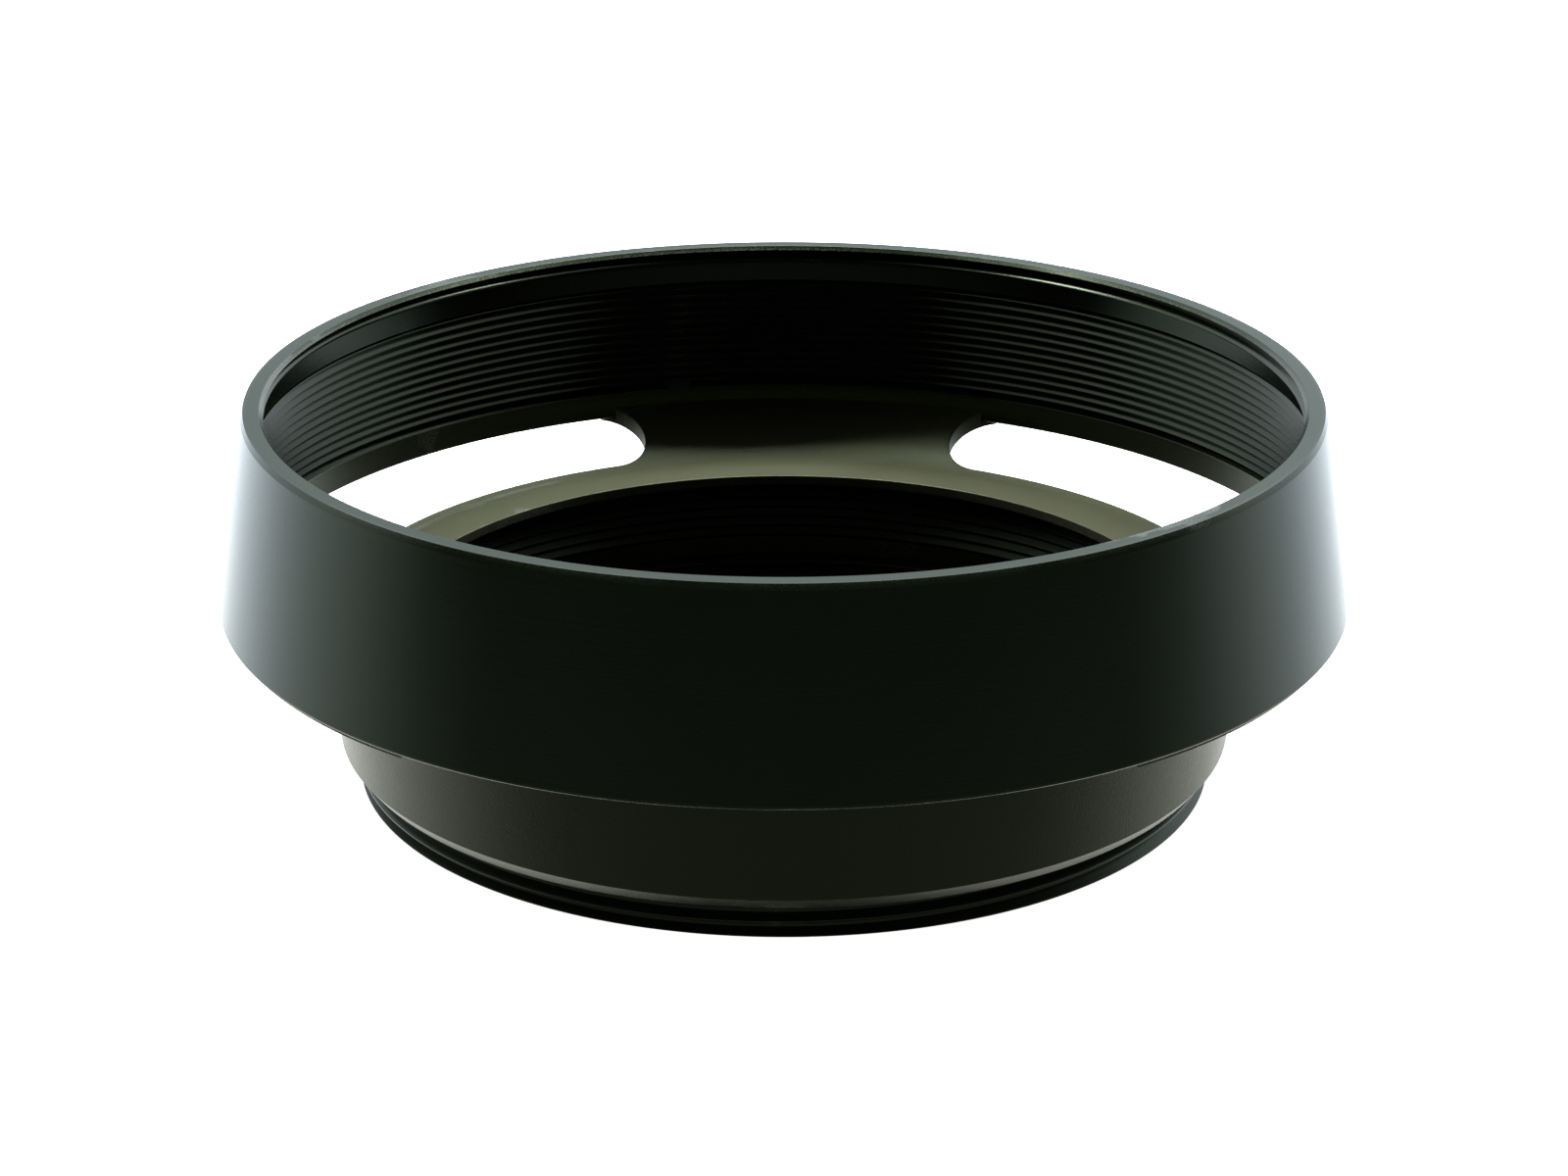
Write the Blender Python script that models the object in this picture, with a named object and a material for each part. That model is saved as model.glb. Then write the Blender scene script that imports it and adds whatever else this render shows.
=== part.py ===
"""Vented screw-in lens hood for a 43 mm lens, with a 52 mm thread in its front rim.

Four turned aluminium pieces, listed from the front to the back:
    front_bell    tapered outer ring: front thread, relief band, light-baffle thread
    vent_ring     hub ring and three conical webs, with the open vent slots between them
    neck_barrel   straight sleeve behind the hub, baffle thread in its bore
    mount_ring    threaded ring that screws into the lens

Frame: origin at the centre of the rear face, +Z forward along the optical axis.
Lengths below are in millimetres and angles in degrees, turned into metres by add_vertex.
"""
import math

import bmesh
import bpy

MM = 0.001
COLUMNS = 64            # facets round every turned surface
FILLET_STEPS = 4        # facets across the web fillet
SLOT_SIDE_STEPS = 12    # facets along each long side of a slot
SLOT_END_STEPS = 8      # facets round each slot end
SHARP_ANGLE = 25.0      # edges bent further than this stay crisp
FIT_GAP = 0.10          # clearance left between pieces that touch in the real hood
CUT_OVERSHOOT = 1.0     # how far the slot cutters stand clear of the metal

# Overall
HEIGHT = 19.45          # rear face to front rim
RIM_OUTER_R = 26.58
RIM_BEVEL_R = 26.70     # radius at the foot of the rim's outer bevel
RIM_BEVEL = 0.30
SKIRT_R = 28.19         # widest radius, at the foot of the tapered wall
SKIRT_Z = 9.40          # lower edge of the tapered wall
SKIRT_CHAMFER = 0.12

# Front filter thread, M52 x 0.75, cut in the rim
FRONT_PITCH = 0.75
FRONT_CREST_R = 25.60
FRONT_DEPTH = 0.42
FRONT_CREST_Z = 18.70   # crest height on the +Y side
FRONT_LEAD = 0.19       # lead-in chamfer
RELIEF_TOP_R = 26.46    # groove behind the thread, leaning in towards the first baffle ridge
RELIEF_TOP_Z = 18.45
RELIEF_FOOT_R = 26.10
RELIEF_FOOT_Z = 17.40

# Light-baffle threads: the share of each turn taken by the flank that faces back
BAFFLE_ROOT = 0.48

# Baffle thread in the bell, on a cone that opens towards the back
BELL_BAFFLE_PITCH = 0.529
BELL_BAFFLE_TURNS = 12
BELL_BAFFLE_DEPTH = 0.33
BELL_BAFFLE_CREST_R = 26.08
BELL_BAFFLE_CREST_Z = 17.15
BELL_BAFFLE_TAPER = 0.2155
SEAT_SHOULDER_Z = 10.82
SEAT_LAND_R = 27.40
SEAT_R = 27.50          # plain bore that holds the feet of the webs

# Vent ring
SHELF_INNER_R = 19.80
SHELF_Z = 8.05
HUB_THICKNESS = 0.50
WEB_CREASE_R = 23.00    # where the flat ledge would meet the cone of the webs
WEB_SLOPE = 23.1
WEB_FILLET = 4.5        # radius that eases the ledge into the cone
WEB_FOOT_Z = 9.00       # underside of the webs where they reach the bell's bore
WEB_LIP_R = 27.80       # the webs' thin edge under the bell's wall
COLLAR_R = 23.02
COLLAR_FOOT_Z = 7.10
SLOT_INNER_R = 23.12
SLOT_OUTER_R = 28.05    # the cutter runs out through the webs' feet
WEB_COUNT = 3
WEB_AZIMUTH = 88.2
WEB_WIDTH = 39.7        # angle between the tips of neighbouring slots

# Neck barrel
BARREL_R = 22.45
BARREL_FOOT_Z = 1.70
BARREL_CHAMFER_Z = 2.33
BARREL_FOOT_R = 21.95
BORE_R = 21.40
BORE_BAFFLE_PITCH = 0.5525
BORE_BAFFLE_DEPTH = 0.30
BORE_BAFFLE_CREST_Z = 6.85
BORE_BAFFLE_TURNS = 6

# Mount ring, M43 x 0.75 outside
MOUNT_R = 21.50
MOUNT_BORE_R = 20.30
MOUNT_TOP_Z = 2.88
MOUNT_PITCH = 0.75
MOUNT_DEPTH = 0.46
MOUNT_CREST_Z = 1.54    # crest height on the -Y side
MOUNT_THREAD_TOP_Z = 2.45
EDGE_BREAK = 0.05

FACING_MINUS_Y = -90.0
FACING_PLUS_Y = 90.0


def clear_scene():
    for item in list(bpy.data.objects):
        bpy.data.objects.remove(item, do_unlink=True)


def black_anodised(name, colour, roughness):
    material = bpy.data.materials.new(name)
    material.use_nodes = True
    shader = material.node_tree.nodes["Principled BSDF"]
    shader.inputs["Base Color"].default_value = (*colour, 1.0)
    shader.inputs["Roughness"].default_value = roughness
    shader.inputs["Metallic"].default_value = 0.6
    material.diffuse_color = (*colour, 1.0)
    return material


def plain(radius, height):
    """One circular edge of a turned profile."""
    return {"rows": [(0.0, 0.0)], "radius": radius, "height": height}


def soft_limit(height, knee, limit):
    """Slow a height down past the knee, so that it never reaches the limit."""
    over = (height - knee) / (limit - knee)
    if over <= 0.0:
        return height
    return knee + (limit - knee) * over / (1.0 + over)


def ramp(value, start, end):
    return min(1.0, max(0.0, (value - start) / (end - start)))


def thread_point(thread, row, column):
    """Radius and height of one point on a right-hand thread."""
    offset, depth_share = thread["rows"][row]
    turn = offset - column / COLUMNS + 0.5
    height = thread["crest_z"] - thread["pitch"] * turn
    height = soft_limit(height, *thread["top"])
    height = soft_limit(height, *thread["bottom"])
    start_weight = ramp(turn, *thread["fade_in"])
    end_weight = 1.0 - ramp(turn, *thread["fade_out"])
    share = depth_share * start_weight * end_weight
    share += thread["end_share"] * (1.0 - end_weight)
    crest_r = thread["crest_r"]
    taper_drop = max(0.0, thread["crest_z"] - height)
    radius = crest_r + thread["taper"] * taper_drop + thread["depth"] * share
    return radius, height


def v_rows(turns):
    """Rows of a sharp thread: a root above the first crest, then pairs of crest and root."""
    rows = [(BAFFLE_ROOT - 1.0, 1.0)]
    for turn in range(turns):
        rows.append((float(turn), 0.0))
        rows.append((turn + BAFFLE_ROOT, 1.0))
    return rows


def add_vertex(mesh, radius, height, azimuth):
    angle = math.radians(azimuth)
    place = (radius * math.cos(angle), radius * math.sin(angle), height)
    return mesh.verts.new([value * MM for value in place])


def column_vertices(mesh, element, column, azimuth):
    vertices = []
    for row in range(len(element["rows"])):
        if "pitch" in element:
            radius, height = thread_point(element, row, column)
        else:
            radius, height = element["radius"], element["height"]
        vertices.append(add_vertex(mesh, radius, height, azimuth))
    return vertices


def add_fan(mesh, hub, rim):
    for first, second in zip(rim, rim[1:]):
        mesh.faces.new((hub, first, second))


def close_thread_seam(mesh, last, first, above, below, shift):
    """Join the last column of a thread to the first, one turn further down."""
    for row in range(shift, len(last) - 1):
        mesh.faces.new((last[row], last[row + 1], first[row + 1 - shift], first[row - shift]))
    add_fan(mesh, above[0], [first[0], *reversed(last[: shift + 1]), above[-1]])
    add_fan(mesh, below[-1], [last[-1], *first[len(last) - 1 - shift:], below[0]])


def turned_mesh(profile, first_azimuth):
    """Sweep a closed profile of plain edges and threads round the axis."""
    mesh = bmesh.new()
    columns = []
    for column in range(COLUMNS):
        azimuth = first_azimuth + 360.0 * column / COLUMNS
        columns.append([column_vertices(mesh, element, column, azimuth) for element in profile])
    for column in range(COLUMNS):
        at_seam = column == COLUMNS - 1
        here = columns[column]
        there = columns[(column + 1) % COLUMNS]
        for index, element in enumerate(profile):
            following = (index + 1) % len(profile)
            threaded = "pitch" in element
            if threaded and at_seam:
                above = [there[index - 1][0], here[index - 1][0]]
                below = [there[following][0], here[following][0]]
                close_thread_seam(mesh, here[index], there[index], above, below, element["shift"])
            elif threaded:
                for row in range(len(element["rows"]) - 1):
                    mesh.faces.new((here[index][row], here[index][row + 1],
                                    there[index][row + 1], there[index][row]))
            if not (at_seam and (threaded or "pitch" in profile[following])):
                mesh.faces.new((here[index][-1], here[following][0],
                                there[following][0], there[index][-1]))
    bmesh.ops.triangulate(mesh, faces=[face for face in mesh.faces if len(face.verts) > 3])
    bmesh.ops.recalc_face_normals(mesh, faces=mesh.faces)
    return mesh


def add_object(name, mesh, material):
    data = bpy.data.meshes.new(name)
    mesh.to_mesh(data)
    mesh.free()
    data.materials.append(material)
    item = bpy.data.objects.new(name, data)
    bpy.context.scene.collection.objects.link(item)
    return item


def arc(centre_r, centre_z, radius, start, end, steps):
    """Plain edges along an arc of the profile, angles from +R towards +Z."""
    edges = []
    for step in range(steps + 1):
        angle = math.radians(start + (end - start) * step / steps)
        edges.append(plain(centre_r + radius * math.cos(angle), centre_z + radius * math.sin(angle)))
    return edges


def front_bell_profile():
    front_thread = {
        "rows": [(-0.875, 0.0), (-0.5625, 1.0), (-0.4375, 1.0), (-0.125, 0.0),
                 (0.125, 0.0), (0.4375, 1.0)],
        "shift": 4,
        "pitch": FRONT_PITCH,
        "crest_z": FRONT_CREST_Z,
        "crest_r": FRONT_CREST_R,
        "depth": FRONT_DEPTH,
        "taper": 0.0,
        "top": (HEIGHT - 0.36, HEIGHT - FRONT_LEAD - 0.03),
        "bottom": (RELIEF_TOP_Z + 0.15, RELIEF_TOP_Z + 0.03),
        "fade_in": (-1.06, -0.75),
        "fade_out": (0.25, 0.50),
        "end_share": 1.0,
    }
    baffle_end = BELL_BAFFLE_TURNS - 0.5
    baffle_foot_z = BELL_BAFFLE_CREST_Z - BELL_BAFFLE_PITCH * baffle_end
    baffle_thread = {
        "rows": v_rows(BELL_BAFFLE_TURNS),
        "shift": 2,
        "pitch": BELL_BAFFLE_PITCH,
        "crest_z": BELL_BAFFLE_CREST_Z,
        "crest_r": BELL_BAFFLE_CREST_R,
        "depth": BELL_BAFFLE_DEPTH,
        "taper": BELL_BAFFLE_TAPER,
        "top": (RELIEF_FOOT_Z - 0.10, RELIEF_FOOT_Z),
        "bottom": (baffle_foot_z, SEAT_SHOULDER_Z + 0.05),
        "fade_in": (-0.98, -0.75),
        "fade_out": (baffle_end + 0.2, baffle_end + 0.45),
        "end_share": 0.0,
    }
    return [
        plain(RIM_OUTER_R, HEIGHT),
        plain(FRONT_CREST_R + FRONT_LEAD, HEIGHT),
        plain(FRONT_CREST_R, HEIGHT - FRONT_LEAD),
        front_thread,
        plain(RELIEF_TOP_R, RELIEF_TOP_Z),
        plain(RELIEF_FOOT_R, RELIEF_FOOT_Z),
        baffle_thread,
        plain(SEAT_LAND_R, SEAT_SHOULDER_Z),
        plain(SEAT_R, SEAT_SHOULDER_Z),
        plain(SEAT_R, SKIRT_Z),
        plain(SKIRT_R - SKIRT_CHAMFER, SKIRT_Z),
        plain(SKIRT_R, SKIRT_Z + SKIRT_CHAMFER),
        plain(RIM_BEVEL_R, HEIGHT - RIM_BEVEL),
    ]


def vent_ring_profile():
    foot_r = SEAT_R - FIT_GAP
    floor_z = SHELF_Z - HUB_THICKNESS
    fillet_start_r = WEB_CREASE_R - WEB_FILLET * math.tan(math.radians(0.5 * WEB_SLOPE))
    foot_top_z = SHELF_Z + (foot_r - WEB_CREASE_R) * math.tan(math.radians(WEB_SLOPE))
    lip_top_z = SKIRT_Z - FIT_GAP
    lip_foot_z = WEB_FOOT_Z + (WEB_LIP_R - foot_r) * (WEB_FOOT_Z - COLLAR_FOOT_Z) / (foot_r - COLLAR_R)
    profile = [plain(SHELF_INNER_R + EDGE_BREAK, SHELF_Z)]
    profile += arc(fillet_start_r, SHELF_Z + WEB_FILLET, WEB_FILLET, -90.0, WEB_SLOPE - 90.0, FILLET_STEPS)
    profile += [
        plain(foot_r, foot_top_z),
        plain(foot_r, lip_top_z),
        plain(WEB_LIP_R, lip_top_z),
        plain(WEB_LIP_R, lip_foot_z),
        plain(COLLAR_R, COLLAR_FOOT_Z),
        plain(BARREL_R + FIT_GAP, COLLAR_FOOT_Z),
        plain(BARREL_R + FIT_GAP, floor_z),
        plain(SHELF_INNER_R, floor_z),
        plain(SHELF_INNER_R, SHELF_Z - EDGE_BREAK),
    ]
    return profile


def neck_barrel_profile():
    seat_z = MOUNT_TOP_Z + FIT_GAP
    top_z = SHELF_Z - HUB_THICKNESS - FIT_GAP
    baffle_end = BORE_BAFFLE_TURNS - 0.5
    baffle_thread = {
        "rows": v_rows(BORE_BAFFLE_TURNS),
        "shift": 2,
        "pitch": BORE_BAFFLE_PITCH,
        "crest_z": BORE_BAFFLE_CREST_Z,
        "crest_r": BORE_R,
        "depth": BORE_BAFFLE_DEPTH,
        "taper": 0.0,
        "top": (top_z - 0.25, top_z - 0.08),
        "bottom": (seat_z + 0.30, seat_z + 0.15),
        "fade_in": (-0.98, -0.75),
        "fade_out": (baffle_end + 0.2, baffle_end + 0.45),
        "end_share": 0.0,
    }
    return [
        plain(BORE_R, top_z),
        baffle_thread,
        plain(BORE_R, seat_z),
        plain(MOUNT_R + FIT_GAP, seat_z),
        plain(MOUNT_R + FIT_GAP, BARREL_FOOT_Z),
        plain(BARREL_FOOT_R, BARREL_FOOT_Z),
        plain(BARREL_R, BARREL_CHAMFER_Z),
        plain(BARREL_R, top_z),
    ]


def mount_ring_profile():
    rear_thread = {
        "rows": [(-0.625, -1.0), (-0.375, -1.0), (-0.0625, 0.0), (0.0625, 0.0),
                 (0.375, -1.0), (0.625, -1.0), (0.9375, 0.0), (1.0625, 0.0),
                 (1.375, -1.0), (1.625, -1.0)],
        "shift": 4,
        "pitch": MOUNT_PITCH,
        "crest_z": MOUNT_CREST_Z,
        "crest_r": MOUNT_R,
        "depth": MOUNT_DEPTH,
        "taper": 0.0,
        "top": (MOUNT_THREAD_TOP_Z - 0.05, MOUNT_THREAD_TOP_Z - 0.01),
        "bottom": (0.30, 2.0 * EDGE_BREAK),
        "fade_in": (-1.10, -0.80),
        "fade_out": (1.85, 2.10),
        "end_share": 0.0,
    }
    return [
        plain(MOUNT_BORE_R + EDGE_BREAK, MOUNT_TOP_Z),
        plain(MOUNT_R, MOUNT_TOP_Z),
        plain(MOUNT_R, MOUNT_THREAD_TOP_Z),
        rear_thread,
        plain(MOUNT_R, EDGE_BREAK),
        plain(MOUNT_R - EDGE_BREAK, 0.0),
        plain(MOUNT_BORE_R + EDGE_BREAK, 0.0),
        plain(MOUNT_BORE_R, EDGE_BREAK),
        plain(MOUNT_BORE_R, MOUNT_TOP_Z - EDGE_BREAK),
    ]


def slot_outline(first, last):
    """Outline of one vent slot with round ends, open outwards past the webs' feet."""
    middle_r = 0.5 * (SLOT_INNER_R + SLOT_OUTER_R)
    end_r = 0.5 * (SLOT_OUTER_R - SLOT_INNER_R)
    open_r = SKIRT_R + CUT_OVERSHOOT
    points = []
    for step in range(SLOT_SIDE_STEPS + 1):
        angle = math.radians(last + (first - last) * step / SLOT_SIDE_STEPS)
        points.append((SLOT_INNER_R * math.cos(angle), SLOT_INNER_R * math.sin(angle)))
    for azimuth, turn in ((first, -1.0), (last, 1.0)):
        middle = math.radians(azimuth)
        half_circle = []
        for step in range(1, SLOT_END_STEPS + 1):
            angle = middle + math.pi + turn * -math.pi * step / SLOT_END_STEPS
            half_circle.append((middle_r * math.cos(middle) + end_r * math.cos(angle),
                                middle_r * math.sin(middle) + end_r * math.sin(angle)))
        half_circle.append((open_r * math.cos(middle), open_r * math.sin(middle)))
        points += half_circle if azimuth == first else list(reversed(half_circle))
        if azimuth == first:
            for step in range(1, SLOT_SIDE_STEPS):
                angle = math.radians(first + (last - first) * step / SLOT_SIDE_STEPS)
                points.append((open_r * math.cos(angle), open_r * math.sin(angle)))
    return points


def slot_cutter(name, first, last):
    mesh = bmesh.new()
    outline = slot_outline(first, last)
    rings = []
    for height in (COLLAR_FOOT_Z - CUT_OVERSHOOT, SEAT_SHOULDER_Z + CUT_OVERSHOOT):
        rings.append([mesh.verts.new((x * MM, y * MM, height * MM)) for x, y in outline])
    mesh.faces.new(rings[0])
    mesh.faces.new(rings[1])
    for index in range(len(outline)):
        following = (index + 1) % len(outline)
        mesh.faces.new((rings[0][index], rings[0][following], rings[1][following], rings[1][index]))
    bmesh.ops.triangulate(mesh, faces=mesh.faces)
    bmesh.ops.recalc_face_normals(mesh, faces=mesh.faces)
    data = bpy.data.meshes.new(name)
    mesh.to_mesh(data)
    mesh.free()
    cutter = bpy.data.objects.new(name, data)
    bpy.context.scene.collection.objects.link(cutter)
    cutter.hide_render = True
    cutter.display_type = "WIRE"
    return cutter


def cut_slots(item):
    middle_r = 0.5 * (SLOT_INNER_R + SLOT_OUTER_R)
    end_angle = math.degrees(0.5 * (SLOT_OUTER_R - SLOT_INNER_R) / middle_r)
    for index in range(WEB_COUNT):
        web = WEB_AZIMUTH + 360.0 * index / WEB_COUNT
        first = web + 0.5 * WEB_WIDTH + end_angle
        last = web + 360.0 / WEB_COUNT - 0.5 * WEB_WIDTH - end_angle
        cut = item.modifiers.new(f"vent slot {index + 1}", "BOOLEAN")
        cut.operation = "DIFFERENCE"
        cut.solver = "EXACT"
        cut.object = slot_cutter(f"cut_slot_{index + 1}", first, last)


def soften(item):
    """Smooth the turned surfaces and keep their real corners crisp."""
    item.data.shade_smooth()
    item.data.set_sharp_from_angle(angle=math.radians(SHARP_ANGLE))


def main():
    clear_scene()
    bell = black_anodised("bell black", (0.012, 0.013, 0.012), 0.38)
    vent = black_anodised("vent ring black", (0.013, 0.013, 0.012), 0.40)
    neck = black_anodised("neck black", (0.013, 0.014, 0.012), 0.40)
    mount = black_anodised("mount ring black", (0.012, 0.012, 0.011), 0.45)
    add_object("front_bell", turned_mesh(front_bell_profile(), FACING_MINUS_Y), bell)
    vent_ring = add_object("vent_ring", turned_mesh(vent_ring_profile(), FACING_MINUS_Y), vent)
    cut_slots(vent_ring)
    add_object("neck_barrel", turned_mesh(neck_barrel_profile(), FACING_MINUS_Y), neck)
    add_object("mount_ring", turned_mesh(mount_ring_profile(), FACING_PLUS_Y), mount)
    for name in ("front_bell", "vent_ring", "neck_barrel", "mount_ring"):
        soften(bpy.data.objects[name])


main()
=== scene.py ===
"""Looks for the vented lens hood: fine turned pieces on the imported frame, in a light tent.

Each CAD node has one visual piece: the same section with rounded edges, finer threads and a
procedural black anodised finish. Lengths are in millimetres and azimuths in degrees.
"""
import math

import bmesh
import bpy
import numpy as np
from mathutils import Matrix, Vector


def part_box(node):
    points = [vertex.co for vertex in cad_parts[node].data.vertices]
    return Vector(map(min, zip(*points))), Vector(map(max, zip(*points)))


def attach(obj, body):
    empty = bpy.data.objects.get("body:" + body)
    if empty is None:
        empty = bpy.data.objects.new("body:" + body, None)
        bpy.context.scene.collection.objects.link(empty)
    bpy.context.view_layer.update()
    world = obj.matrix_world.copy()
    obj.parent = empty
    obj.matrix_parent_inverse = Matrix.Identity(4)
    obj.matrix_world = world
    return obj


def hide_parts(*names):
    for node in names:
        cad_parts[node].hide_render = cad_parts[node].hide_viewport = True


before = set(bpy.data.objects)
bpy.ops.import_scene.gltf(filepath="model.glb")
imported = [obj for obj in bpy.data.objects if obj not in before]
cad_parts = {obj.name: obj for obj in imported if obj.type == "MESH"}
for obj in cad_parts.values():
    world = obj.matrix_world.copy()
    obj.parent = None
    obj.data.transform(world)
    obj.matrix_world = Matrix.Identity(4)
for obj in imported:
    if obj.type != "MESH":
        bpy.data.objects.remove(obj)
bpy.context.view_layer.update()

# ---------------------------------------------------------------- driving dimensions
MM = 0.001
COLUMNS = 360           # facets round every turned surface
ARC_STEPS = 4           # facets across every rounded edge
ARC_GUARD = 0.25        # share of a rounded edge's reach at which the flat beside it is held
HAIRLINE = 0.02         # visible joint between pieces that touch
TURNED_SHARP = 35.0     # edges bent further than this stay crisp, in degrees
SLOTTED_SHARP = 40.0


def span(node):
    """Widest radius, lowest and highest level of a CAD node, in millimetres."""
    low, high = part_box(node)
    return high[0] / MM, low[2] / MM, high[2] / MM


SKIRT_R, SKIRT_Z, RIM_Z = span("front_bell")
BARREL_R, BARREL_FOOT_Z, BARREL_TOP_Z = span("neck_barrel")
MOUNT_R, MOUNT_FOOT_Z, MOUNT_TOP_Z = span("mount_ring")

# Shape of one turn of the baffle threads, in both the bell and the bore
BAFFLE_EDGE = 0.06      # how far the rounding of crest and root reaches, as a share of a turn
BAFFLE_ROOT = 0.48      # share of a turn taken by the flank that faces back

# Bell
RIM_OUTER_R = 26.58
RIM_BEVEL_R = 26.70
RIM_BEVEL = 0.30
RIM_LEAD = 0.19         # lead-in chamfer of the front thread
RIM_FACE_R = (26.1, 26.3)           # rings that hold the flat rim between its rounded edges
SKIRT_CORNER_R = SKIRT_R + 0.01     # where the flanks of the rounded lower corner would meet
WALL_STEPS = 6          # bands up the tapered wall
RIM_EDGE = 0.05         # radii of the bell's rounded edges, from the rim to its foot
BEVEL_EDGE = 0.10
LEAD_EDGE = 0.03
LAND_EDGE = 0.02
SKIRT_EDGE = 0.13
SEAT_EDGE = 0.06
FRONT_CREST_R = 25.60
FRONT_DEPTH = 0.44
FRONT_PITCH = 0.75
FRONT_CREST_Z = RIM_Z - 0.75
FRONT_CREST_FLAT = 0.14
FRONT_ROOT_FLAT = 0.06
RELIEF_TOP_R = 26.46    # groove behind the front thread, leaning in towards the baffle thread
RELIEF_TOP_Z = RIM_Z - 1.00
RELIEF_FOOT_R = 26.10
RELIEF_FOOT_Z = RIM_Z - 2.05
BELL_BAFFLE_PITCH = 0.529
BELL_BAFFLE_TURNS = 12
BELL_BAFFLE_DEPTH = 0.33
BELL_BAFFLE_CREST_R = 26.08
BELL_BAFFLE_CREST_Z = RIM_Z - 2.30
BELL_BAFFLE_TAPER = 0.2155
SEAT_SHOULDER_Z = RIM_Z - 8.63
SEAT_LAND_R = 27.40
SEAT_R = 27.50

# Vent ring
SHELF_R = 19.80
SHELF_Z = 8.05
SHELF_CHAMFER = 0.05
HUB_FLOOR_Z = BARREL_TOP_Z + 0.10
COLLAR_R = 23.02
COLLAR_FOOT_Z = 7.10
WEB_CREASE_R = 23.00    # where the flat ledge would meet the cone of the webs
WEB_SLOPE = math.radians(23.1)
WEB_FILLET = 4.5        # radius that eases the ledge into the cone
WEB_FOOT_Z = 9.00
LIP_R = 27.90           # the webs' thin edge under the bell's wall
SLOT_MIDDLE_R = 25.585
SLOT_END_R = 2.465
SLOT_EDGE = 0.09        # radius that breaks the slots' edges
WEB_COUNT = 3
WEB_AZIMUTH = 88.2
WEB_WIDTH = 39.7
EDGE_LIMIT = 0.35       # a rounded edge takes at most this share of the metal's thickness
WEB_COLUMNS = 60        # columns across the middle of a web
SLOT_COLUMNS = 80       # columns along a slot

# Barrel and mount ring
BORE_R = 21.40
BORE_BAFFLE_PITCH = 0.5525
BORE_BAFFLE_TURNS = 6
BORE_BAFFLE_DEPTH = 0.25
BORE_BAFFLE_CREST_Z = 6.85
BARREL_CHAMFER_Z = 2.33
BARREL_FACE_R = 21.95
BARREL_TOP_FACE_R = (BORE_R + 0.3, BORE_R + 0.6)    # rings that hold the flat top face
BORE_EDGE = 0.03        # radii of the barrel's rounded edges
BORE_FOOT_EDGE = 0.02
BARREL_SEAT_EDGE = 0.04
BARREL_FACE_EDGE = 0.05
BARREL_CHAMFER_EDGE = 0.07
BARREL_TOP_EDGE = 0.05
MOUNT_BORE_R = 20.30
MOUNT_PITCH = 0.75
MOUNT_DEPTH = 0.46
MOUNT_CREST_Z = 1.54
MOUNT_CREST_FLAT = 0.125
MOUNT_ROOT_FLAT = 0.25
MOUNT_THREAD_TOP_Z = 2.45
MOUNT_EDGE = 0.05       # radii of the mount ring's rounded edges
MOUNT_SHOULDER_EDGE = 0.04
TURNING_GROOVE_PITCH = 0.33
TURNING_GROOVE_DEPTH = 0.05
TURNING_GROOVE_EDGE = 0.10
TURNING_GROOVE_ROOT = 0.5
TURNING_GROOVES = 7

FACING_MINUS_Y = -90.0
FACING_PLUS_Y = 90.0


# ---------------------------------------------------------------- turned surfaces
def plain(radius, height):
    """One circular edge of a turned profile."""
    return {"rows": [0.0], "radius": radius, "height": height}


def rounded(*corners):
    """Plain edges along a profile line. Each corner is (radius, height) or (radius, height, edge radius)."""
    points = [np.array(corner[:2]) for corner in corners]
    edges = []
    for index, corner in enumerate(corners):
        break_r = corner[2] if len(corner) > 2 else 0.0
        if break_r == 0.0 or index in (0, len(corners) - 1):
            edges.append(plain(*points[index]))
            continue
        before = points[index - 1] - points[index]
        after = points[index + 1] - points[index]
        before /= np.linalg.norm(before)
        after /= np.linalg.norm(after)
        half = 0.5 * math.acos(float(np.clip(before @ after, -1.0, 1.0)))
        reach = break_r / math.tan(half)
        bisector = (before + after) / np.linalg.norm(before + after)
        centre = points[index] + bisector * break_r / math.sin(half)
        start = points[index] + before * reach - centre
        end = points[index] + after * reach - centre
        edges.append(plain(*(centre + start + before * ARC_GUARD * reach)))
        for step in range(ARC_STEPS + 1):
            share = step / ARC_STEPS
            angle = math.pi - 2.0 * half
            weight_start = math.sin((1.0 - share) * angle) / math.sin(angle)
            weight_end = math.sin(share * angle) / math.sin(angle)
            edges.append(plain(*(centre + start * weight_start + end * weight_end)))
        edges.append(plain(*(centre + end + after * ARC_GUARD * reach)))
    return edges


def soft_limit(height, knee, limit):
    """Slow heights down past the knee, so that they never reach the limit."""
    over = np.maximum((height - knee) / (limit - knee), 0.0)
    return np.where(over > 0.0, knee + (limit - knee) * over / (1.0 + over), height)


def ramp(value, start, end):
    """Eased rise from nought at the start to one at the end."""
    share = np.clip((value - start) / (end - start), 0.0, 1.0)
    return share * share * (3.0 - 2.0 * share)


def repeat_rows(shape, first_turn, last_turn):
    """Rows of a thread: (turn offset, share of full depth), the shape repeated once a turn."""
    rows = []
    for turn in range(math.floor(first_turn) - 1, math.ceil(last_turn) + 1):
        rows += [(turn + phase, share) for phase, share in shape]
    return [row for row in rows if first_turn <= row[0] <= last_turn]


def v_shape(edge, root):
    """A V groove with straight flanks and slightly rounded crest and root, one turn long."""
    low = 0.5 * edge
    high = 1.0 - 2.0 * low
    half = [(0.0, low), (0.5 * edge, 1.3 * edge), (edge, 2.0 * edge),
            (0.5 - edge, 1.0 - 2.0 * edge), (0.5 - 0.5 * edge, 1.0 - 1.3 * edge), (0.5, 1.0 - low)]
    shape = [(2.0 * root * phase, share) for phase, share in half]
    shape += [(1.0 - 2.0 * (1.0 - root) * phase, share) for phase, share in reversed(half[1:-1])]
    return [(phase, (share - low) / high) for phase, share in shape]


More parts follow.
